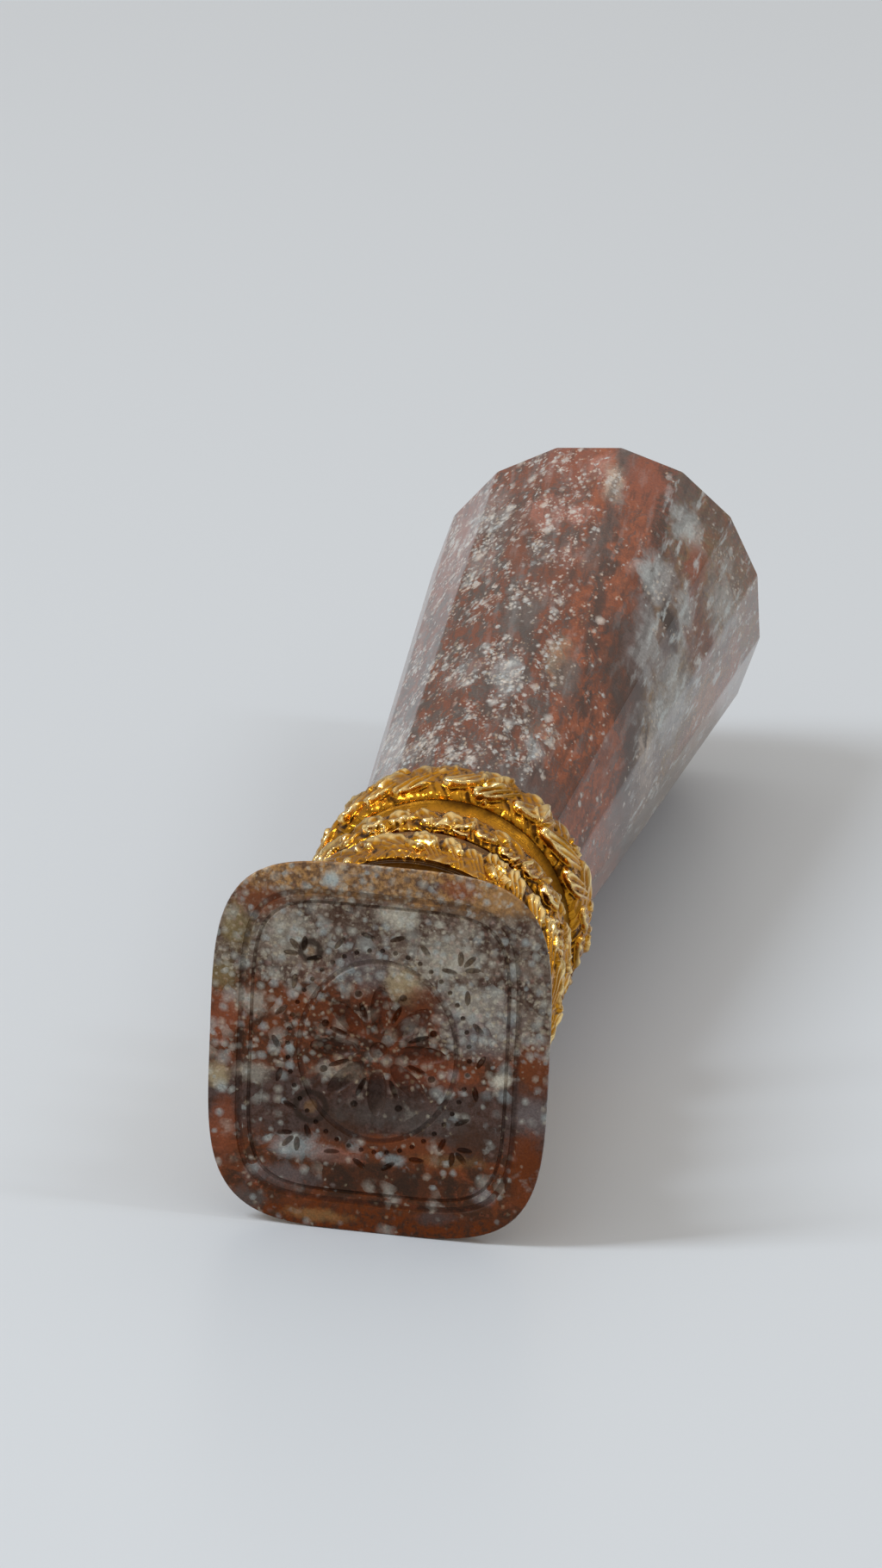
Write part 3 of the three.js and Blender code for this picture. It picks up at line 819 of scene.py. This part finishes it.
# turned pieces: neck, collar and cavetto band
turning = {"steps": 144, "bore": 7.6, "studBore": 1.55}
neckSizes = {
    "foot": 9.4, "waist": 8.45, "head": 9.0, "fillet": 0.6, "bead": 0.22, "step": 0.42, "lip": 0.95,
    "line": 0.14, "lines": (0.3, 0.65), "lineWidth": 0.07, "lineSlope": 0.05, "lipStart": 0.06,
    "beadSteps": 6, "beadTuck": 0.7, "beadGap": 0.02, "hollowSteps": 16, "hollowGap": 0.1, "rimDrop": 0.12,
}
neckFront, neckBack = span("neck")
foot, bead, line = neckSizes["foot"], neckSizes["bead"], neckSizes["line"]
beadFront = neckFront + neckSizes["fillet"]
neckProfile = [(0, neckFront), (foot, neckFront), (foot, beadFront)]
for step in range(neckSizes["beadSteps"] + 1):
    turn = pi * step / neckSizes["beadSteps"]
    neckProfile.append((foot - neckSizes["step"] * neckSizes["beadTuck"] + bead * sin(turn),
                        beadFront + neckSizes["beadGap"] + bead * (1 - cos(turn))))
hollowFront = beadFront + 2 * bead + neckSizes["hollowGap"]
hollowBack = neckBack - neckSizes["lip"]
rimFront, rimBack = foot - neckSizes["step"], neckSizes["head"] - neckSizes["rimDrop"]
for step in range(neckSizes["hollowSteps"] + 1):
    part = step / neckSizes["hollowSteps"]
    rim = rimFront + (rimBack - rimFront) * part
    neckProfile.append((rim + (neckSizes["waist"] - rim) * sin(pi * part),
                        hollowFront + (hollowBack - hollowFront) * part))
neckProfile.append((neckSizes["head"], hollowBack + neckSizes["lipStart"]))
# two fine lines cut round the lip
slope = neckSizes["lineSlope"]
for start in neckSizes["lines"]:
    end = start + neckSizes["lineWidth"]
    for place, depth in ((start - slope, 0), (start, line), (end, line), (end + slope, 0)):
        neckProfile.append((neckSizes["head"] - depth, hollowBack + place))
studFront = span("stud")[0]
neckProfile += [(neckSizes["head"], neckBack), (turning["studBore"], neckBack),
                (turning["studBore"], studFront), (0, studFront)]
neckPiece = spinProfile("neckMoulding", neckProfile, turning["steps"])
# the neck takes a darker gilding, painted shade for its place behind the matrix
finishPiece(neckPiece, "neckMoulding", "neck", giltNeckShade, 30)

collarSizes = {"top": 8.85, "groove": 7.9, "filletLength": 1.4, "soft": 0.12, "crown": 0.03}
collarFront, collarBack = span("plain_collar")
collarEnd = collarFront + collarSizes["filletLength"]
collarTop, collarSoft = collarSizes["top"], collarSizes["soft"]
collarPiece = spinProfile("plainCollar", [
    (turning["bore"], collarFront), (collarTop - collarSoft, collarFront),
    (collarTop, collarFront + collarSoft), (collarTop + collarSizes["crown"], (collarFront + collarEnd) / 2),
    (collarTop, collarEnd - collarSoft), (collarTop - collarSoft, collarEnd),
    (collarSizes["groove"], collarEnd), (collarSizes["groove"], collarBack), (turning["bore"], collarBack),
], turning["steps"])
# the collar takes a darker gilding, painted shade between the rings
finishPiece(collarPiece, "plainCollar", "plain_collar", giltShade, 40)

# the band's tone runs from painted light at the front to painted shade at the back
cavettoSizes = {
    "rim": 8.4, "waist": 7.9, "steps": 20, "lip": 0.3, "flatness": 0.8,
    "litFront": 0.72, "dark": -0.15, "shadeFalloff": 2.4,
}
cavettoFront, cavettoBack = span("cavetto_band")
rim, lip = cavettoSizes["rim"], cavettoSizes["lip"]
cavettoProfile = [(turning["bore"], cavettoFront), (rim, cavettoFront)]
for step in range(cavettoSizes["steps"] + 1):
    part = step / cavettoSizes["steps"]
    dip = max(sin(pi * part), 0) ** cavettoSizes["flatness"]
    cavettoProfile.append((rim + (cavettoSizes["waist"] - rim) * dip,
                           cavettoFront + lip + (cavettoBack - cavettoFront - 2 * lip) * part))
cavettoProfile += [(rim, cavettoBack), (turning["bore"], cavettoBack)]
cavettoPiece = spinProfile("cavettoBand", cavettoProfile, turning["steps"])
# painted light and shade: lighter towards the middle ring, and painted shade under the leaves of the upper
# one
litFront, dark = cavettoSizes["litFront"], cavettoSizes["dark"]
bandRelief = cavettoPiece.data.attributes.new("relief", "FLOAT", "POINT")
for spot, corner in zip(bandRelief.data, cavettoPiece.data.vertices):
    part = (corner.co.y / mm - cavettoFront) / (cavettoBack - cavettoFront)
    spot.value = litFront + (dark - litFront) * part ** cavettoSizes["shadeFalloff"]
finishPiece(cavettoPiece, "cavettoBand", "cavetto_band", giltBand, 40)

# the chased rings: a half-round moulding with sheets of lobed leaves laid over it
chasing = {
    "steps": 880, "waveSteps": 1441, "foldWidth": 0.18, "grain": 0.015, "contrast": 0.80,
    "toneRange": (-0.2, 1.2),
}


def roundNoise(around, scale, seed):
    # a smooth wave that closes on itself round the ring
    turns = np.linspace(-pi, pi, chasing["waveSteps"])
    values = [noise.noise(Vector((cos(turn) * scale, seed * 3.7, sin(turn) * scale))) for turn in turns]
    return np.interp(around, turns, values)


def noiseField(points, scale, seed, detail=3):
    shift = Vector((seed * 7.3, seed * 3.1, -seed * 5.7))
    return np.array([noise.fractal(Vector(point) * scale + shift, 1.0, 2.0, detail) for point in points])


def softStep(value):
    value = np.clip(value, 0, 1)
    return value * value * (3 - 2 * value)


def roundFrom(angle, around, arc):
    # mm round the ring from an angle, the short way
    return np.arctan2(np.sin(around - angle), np.cos(around - angle)) * arc


def layFrill(draw, frill, around, across, arc):
    # one sheet of leaf lobes with a free edge, its flutes gathered towards the root
    side, edge, lobes, swing, height, length, flutes, lean, loose = frill
    seed = draw.uniform(1, 50)
    lobeWidth = 2 * pi * arc / lobes
    phase = around / (2 * pi) * lobes + lean * across / lobeWidth
    phase = phase + loose * 1.3 * roundNoise(around, lobes * 0.05, seed)
    number = np.floor(phase).astype(int) % lobes
    part = phase - np.floor(phase) - 0.5
    tall, shift, bend = (
        np.array([draw.uniform(-1, 1) for lobe in range(lobes)])[number] for kind in range(3))
    scallop = np.cos(pi * part) ** 0.75 - 0.6
    hem = edge + side * (swing * scallop + loose * 0.3 * shift)
    hem = hem + loose * 0.5 * roundNoise(around, lobes * 0.04, seed + 5)
    inside = side * (hem - across)  # mm in from the free edge
    depth = np.clip(inside, 0, None)
    gather = np.clip(1 - 0.35 * depth / length, 0.6, 1)
    spread = part / gather + loose * 0.15 * bend * depth
    groove = (0.5 - 0.5 * np.cos(2 * pi * flutes * spread)) * (0.5 + 0.25 * shift)
    groove *= 0.2 + 0.8 * softStep(depth / 0.7)
    cleft = softStep((0.5 - np.abs(part)) * 5) * 0.75 + 0.25
    body = (0.25 + 0.75 * np.exp(-depth / length)) * (0.7 + 0.3 * np.cos(pi * part))
    roll = 0.22 * np.exp(-(((inside - 0.34) / 0.26) ** 2))
    shape = softStep(inside / 0.24) * (body * (1 - groove) * cleft + roll)
    # painted shade: a painted cast shadow just outside the free edge, and painted shade in the grooves and
    # in the clefts
    shadow = np.where(inside < 0, softStep(1 + inside / 0.5), 0.9 * groove + 0.5 * (1 - cleft))
    return height * (1 + 0.3 * loose * tall) * shape, shadow


def raiseLeaf(leaf, around, across, arc):
    # one turned-over leaf: flutes spread from its foot and its tip curls up
    offset = roundFrom(leaf["angle"], around, arc)
    rise = across - leaf["across"]
    u = (offset * cos(leaf["turn"]) + rise * sin(leaf["turn"])) / (leaf["length"] / 2)
    v = (-offset * sin(leaf["turn"]) + rise * cos(leaf["turn"])) / (leaf["width"] / 2)
    v = v + leaf["bend"] * (u * u - 0.3)
    reach = np.hypot(u + 1, v * 0.8) / 2
    spread = np.arctan2(v * 0.8, u + 1)
    flute = np.cos(leaf["lobes"] * spread) ** 2
    outline = np.clip(np.cos(spread), 0, 1) ** 0.55 * (0.84 + 0.16 * flute)
    inside = np.clip(1 - reach / np.maximum(outline, 0.05), 0, 1)
    inside = np.where(np.abs(spread) < pi / 2, inside, 0)
    return leaf["height"] * softStep(inside * 4.5) * (0.45 + 0.55 * flute) * (0.62 + 0.5 * reach)


def scatterLeaves(draw, loose, around, across, arc):
    # single leaves all round the ring, each a little unlike the next
    height = np.zeros(len(around))
    for number in range(loose["count"]):
        leaf = {
            "angle": (number + draw.uniform(-0.4, 0.4)) / loose["count"] * 2 * pi,
            "across": loose["across"] + draw.uniform(-0.7, 0.7),
            "length": loose["length"] * draw.uniform(0.7, 1.25),
            "width": loose["width"] * draw.uniform(0.75, 1.2),
            "turn": radians(loose["turn"] + draw.uniform(-40, 40)),
            "height": loose["height"] * draw.uniform(0.8, 1.15),
            "lobes": loose["lobes"],
            "bend": draw.uniform(-0.7, 0.7),
        }
        height = np.maximum(height, raiseLeaf(leaf, around, across, arc))
    return height


def scatterBeads(draw, count, half, around, across, arc):
    # small round beads, up to half mm either side of the ring's middle
    height = np.zeros(len(around))
    for bead in range(count):
        beadAngle, beadAcross = draw.uniform(0, 2 * pi), draw.uniform(-1, 1) * half
        beadRadius, beadHeight = draw.uniform(0.16, 0.34), draw.uniform(0.3, 0.5)
        distance = np.hypot(roundFrom(beadAngle, around, arc), across - beadAcross) / beadRadius
        height = np.maximum(height, beadHeight * np.sqrt(np.clip(1 - distance**2, 0, 1)))
    return height


def ringMoulding(name, size, front, back):
    # the half-round body; at the back its bore may widen over what follows
    bore, backBore = turning["bore"], size["backBore"]
    middle, half = (front + back) / 2, (back - front) / 2
    profile = [(bore, front)]
    for step in range(size["profileSteps"] + 1):
        turn = pi - pi * step / size["profileSteps"]
        start = size["frontRise"] if turn > pi / 2 else size["backRise"]
        profile.append((bore + size["height"] * (start + (1 - start) * abs(sin(turn)) ** 0.75),
                        middle + half * 0.985 * cos(turn)))
    profile += [(backBore, back), (backBore, back - half * 0.25), (bore, back - half * 0.3)]
    return spinProfile(name, profile, chasing["steps"])


def chasedRing(name, size):
    draw = Random(size["seed"])
    front, back = span(size["node"])
    middle, half = (front + back) / 2, (back - front) / 2
    piece = ringMoulding(name, size, front, back)
    mesh = piece.data
    places = np.empty(len(mesh.vertices) * 3)
    mesh.vertices.foreach_get("co", places)
    places = places.reshape(-1, 3) / mm
    around = np.arctan2(places[:, 0], places[:, 2])
    radius = np.hypot(places[:, 0], places[:, 2])
    above = radius - turning["bore"]
    rise = np.clip(above / size["height"], 0, 1)
    slope = np.arctan2(rise, -(places[:, 1] - middle) / half)
    across = (slope / pi - 0.5) * (2 * half + size["height"] * 1.1)
    skin = np.clip((above - 0.12) / 0.2, 0, 1)  # the bore stays smooth
    arc = turning["bore"] + size["height"] * 0.9
    # broad flutes under the leaves, the sheets, then loose leaves and small beads
    drift = noiseField(places, 0.25, size["seed"] + 9)
    phase = around * size["flutes"] / 2 + size["lean"] * across + drift * 2.0
    height = size["fluteHeight"] * np.abs(np.cos(phase)) ** 0.7
    shadow = np.zeros(len(places))
    for frill in size["frills"]:
        sheetHeight, sheetShadow = layFrill(draw, frill, around, across, arc)
        darker = np.maximum(shadow, sheetShadow * (sheetHeight <= 0))
        shadow = np.where(sheetHeight > height, sheetShadow, darker)
        height = np.maximum(height, sheetHeight)
    height = np.maximum(height, scatterLeaves(draw, size["loose"], around, across, arc))
    height = np.maximum(height, scatterBeads(draw, size["beads"], half, around, across, arc))
    # sharp crinkles that cross the leaves
    folds = np.abs(noiseField(places, 0.6, size["seed"] + 40, 2)) / chasing["foldWidth"]
    crinkle = np.clip(1 - folds, 0, 1) * size["crinkle"]
    lift = height + crinkle + noiseField(places, 3.2, size["seed"] + 4) * chasing["grain"]
    move = lift * skin
    outwards = places * (1, 0, 1) / radius[:, None]
    places += outwards * (move * (0.35 + 0.65 * np.sin(slope)))[:, None]
    places[:, 1] -= move * np.cos(slope) * 0.85
    mesh.vertices.foreach_set("co", (places * mm).ravel())
    relief = mesh.attributes.new("relief", "FLOAT", "POINT")
    # the stored tone is painted light and shade: high places lighter, and darker where the sheets' painted
    # shadow falls
    tone = size["base"] + chasing["contrast"] * lift / size["crest"] - size["paintedShade"] * shadow
    tone = np.clip(tone, *chasing["toneRange"])
    relief.data.foreach_set("value", tone.astype(np.float32))
    mesh.update()
    pickOnly(piece)
    bpy.ops.object.shade_smooth()
    finishPiece(piece, name, size["node"], giltChased)


# frills are (side, edge, lobes, swing, height, length, flutes, lean, looseness) in mm and counts;
# side 1: the free edge points to the handle, -1: to the face
rings = {
    "lowerRing": {
        "node": "lower_chased_ring", "height": 1.55, "backBore": 7.6, "profileSteps": 74, "frontRise": 0.84,
        "backRise": 0.85, "seed": 11, "flutes": 70, "fluteHeight": 0.10, "lean": 0.8,
        "beads": 14, "crest": 0.50, "crinkle": 0.08, "base": 0.33, "paintedShade": 0.95,
        "frills": [
            (1, 2.8, 28, 0.5, 0.36, 1.2, 3, 0.5, 0.9),
            (-1, -2.3, 32, 0.7, 0.32, 1.1, 2, -0.6, 1.0),
            (1, 0.8, 25, 0.75, 0.55, 1.3, 3, 0.7, 1.0),
        ],
        "loose": {"count": 19, "across": 0.0, "length": 2.2, "width": 1.1, "turn": -30,
                  "height": 0.54, "lobes": 4},
    },
    "middleRing": {
        "node": "middle_chased_ring", "height": 1.2, "backBore": 7.6, "profileSteps": 64, "frontRise": 0.66,
        "backRise": 0.4, "seed": 23, "flutes": 80, "fluteHeight": 0.10, "lean": -0.8,
        "beads": 22, "crest": 0.46, "crinkle": 0.07, "base": 0.27, "paintedShade": 0.95,
        "frills": [
            (1, 1.9, 28, 0.4, 0.28, 1.0, 2, 0.5, 0.9),
            (-1, -2.2, 26, 0.6, 0.50, 0.9, 2, 0.5, 1.0),
            (-1, -1.0, 24, 0.6, 0.52, 1.0, 3, -0.5, 1.0),
            (1, 0.6, 25, 0.6, 0.46, 1.0, 2, 0.6, 1.0),
        ],
        "loose": {"count": 27, "across": -0.3, "length": 1.9, "width": 0.9, "turn": 30,
                  "height": 0.52, "lobes": 3},
    },
    "upperRing": {
        "node": "upper_chased_ring", "height": 1.45, "backBore": 7.85, "profileSteps": 84, "frontRise": 0.42,
        "backRise": 0.4, "seed": 5, "flutes": 56, "fluteHeight": 0.12, "lean": 0.6,
        "beads": 6, "crest": 0.52, "crinkle": 0.06, "base": 0.28, "paintedShade": 0.75,
        "frills": [
            (1, 2.5, 28, 0.5, 0.28, 1.2, 2, 0.5, 0.9),
            (-1, -1.3, 22, 0.7, 0.54, 1.7, 3, -0.9, 1.0),
            (1, 1.3, 23, 0.6, 0.46, 1.2, 2, 0.6, 1.0),
        ],
        "loose": {"count": 17, "across": 0.7, "length": 2.6, "width": 1.2, "turn": 55,
                  "height": 0.58, "lobes": 3},
    },
}
for ringName, ringSize in rings.items():
    chasedRing(ringName, ringSize)

# the handle: a sixteen-sided taper with a tenon and a bore at the mount end
shoulder, endBevel = handleSizes["shoulder"], handleSizes["endBevel"]
taperLength = handleEnd - endBevel - shoulder
pickOnly()
bpy.ops.mesh.primitive_cone_add(
    vertices=handleSizes["sides"], radius1=handleSizes["shoulderRadius"] * mm,
    radius2=handleSizes["endRadius"] * mm, depth=taperLength * mm,
    location=(0, faceY + (shoulder + taperLength / 2) * mm, axisHeight),
    rotation=(-pi / 2, pi / handleSizes["sides"] + radians(handleSizes["twist"]), 0))
handlePiece = bpy.context.object
settle(handlePiece)


def pickCap(piece, facing):
    # the outermost flat face that looks along the seal: 1 to the far end, -1 to the mount
    pickOnly(piece)
    bpy.ops.object.mode_set(mode="EDIT")
    bpy.ops.mesh.select_mode(type="FACE")
    bpy.ops.mesh.select_all(action="DESELECT")
    mesh = bmesh.from_edit_mesh(piece.data)
    caps = [face for face in mesh.faces if facing * face.normal.y > 0.9]
    max(caps, key=lambda face: facing * face.calc_center_median().y).select = True
    bmesh.update_edit_mesh(piece.data)


def extrudeCap(start, end, shrink):
    # from one station to another, then narrower about the axis
    bpy.ops.mesh.extrude_region_move(TRANSFORM_OT_translate={"value": (0, (end - start) * mm, 0)})
    middle = (0, faceY + end * mm, axisHeight)
    bpy.ops.transform.resize(value=(shrink, shrink, shrink), center_override=middle)


pickCap(handlePiece, 1)
extrudeCap(handleEnd - endBevel, handleEnd, 1 - endBevel / handleSizes["endRadius"])
pickCap(handlePiece, -1)
extrudeCap(shoulder, shoulder, handleSizes["tenonRadius"] / handleSizes["shoulderRadius"])
extrudeCap(shoulder, handleFront, 1)
extrudeCap(handleFront, handleFront, handleSizes["boreRadius"] / handleSizes["tenonRadius"])
extrudeCap(handleFront, span("stud")[1] + handleSizes["boreSpare"], 1)
bpy.ops.object.mode_set(mode="OBJECT")
cleanMesh(handlePiece)
softenEdges(handlePiece, handleSizes["edge"], 2, 15)
pickOnly(handlePiece)
bpy.ops.object.shade_flat()
finishPiece(handlePiece, "handleStone", "handle_stone", handleStone)

# the table
table = {"size": 6.0, "ahead": 1, "color": (0.635, 0.672, 0.703), "roughness": 0.36}
pickOnly()
bpy.ops.mesh.primitive_plane_add(size=table["size"], location=(0, table["ahead"], 0))
tablePlane = bpy.context.object
tablePlane.name = "table"
tableMaterial, tableShader = newMaterial("tableTop")
setInputs(tableShader, {"Base Color": (*table["color"], 1), "Roughness": table["roughness"]})
tablePlane.data.materials.append(tableMaterial)

# lamps: a broad one on the left, a smaller and weaker one on the right; angles in degrees about the seal
lampColor = (0.93, 1.0, 1.08)
lamps = {
    "leftLamp": {"around": 206, "up": 48, "distance": 1.1, "wide": 0.18, "tall": 0.50, "power": 6.2},
    "rightLamp": {"around": -5, "up": 53, "distance": 1.0, "wide": 0.09, "tall": 0.30, "power": 1.1},
}
for name, values in lamps.items():
    lamp = bpy.data.lights.new(name, "AREA")
    lamp.shape = "RECTANGLE"
    lamp.size = values["wide"]
    lamp.size_y = values["tall"]
    lamp.energy = values["power"]
    lamp.color = lampColor
    lampObject = bpy.data.objects.new(name, lamp)
    bpy.context.collection.objects.link(lampObject)
    around, up = radians(values["around"]), radians(values["up"])
    place = values["distance"] * Vector((cos(around) * cos(up), sin(around) * cos(up), sin(up)))
    lampObject.location = place
    lampObject.rotation_euler = (-place).to_track_quat("-Z", "Y").to_euler()

# the room: darker at the horizon than overhead
room = {"horizon": (0.25, 0.235, 0.22), "overhead": (0.79, 0.745, 0.70)}
world = bpy.data.worlds.new("studio")
bpy.context.scene.world = world
world.use_nodes = True
sky = world.node_tree
heightUp = axesOf(sky.nodes.new("ShaderNodeTexCoord").outputs["Generated"])["Z"]
roomColor = mixColors(heightUp, room["horizon"], room["overhead"])
setInputs(sky.nodes["Background"], {"Color": roomColor})

# the camera looks down the seal from the front
view = {
    "place": (0.0711, -0.4904, 0.1906),
    "heading": 8.70, "down": 19.64, "roll": 2.61,
    "focalPixels": 9000, "pictureHeight": 1821, "sensor": 36,
}
camera = bpy.data.objects.new("camera", bpy.data.cameras.new("camera"))
bpy.context.collection.objects.link(camera)
camera.data.sensor_width = view["sensor"]
camera.data.lens = view["focalPixels"] / view["pictureHeight"] * view["sensor"]
camera.data.clip_start = 0.01
camera.matrix_world = (
    Matrix.Translation(view["place"])
    @ Matrix.Rotation(radians(view["heading"]), 4, "Z")
    @ Matrix.Rotation(radians(90 - view["down"]), 4, "X")
    @ Matrix.Rotation(radians(view["roll"]), 4, "Z")
)
bpy.context.scene.camera = camera
bpy.context.scene.view_settings.view_transform = "Standard"
print("camera and lamps set")
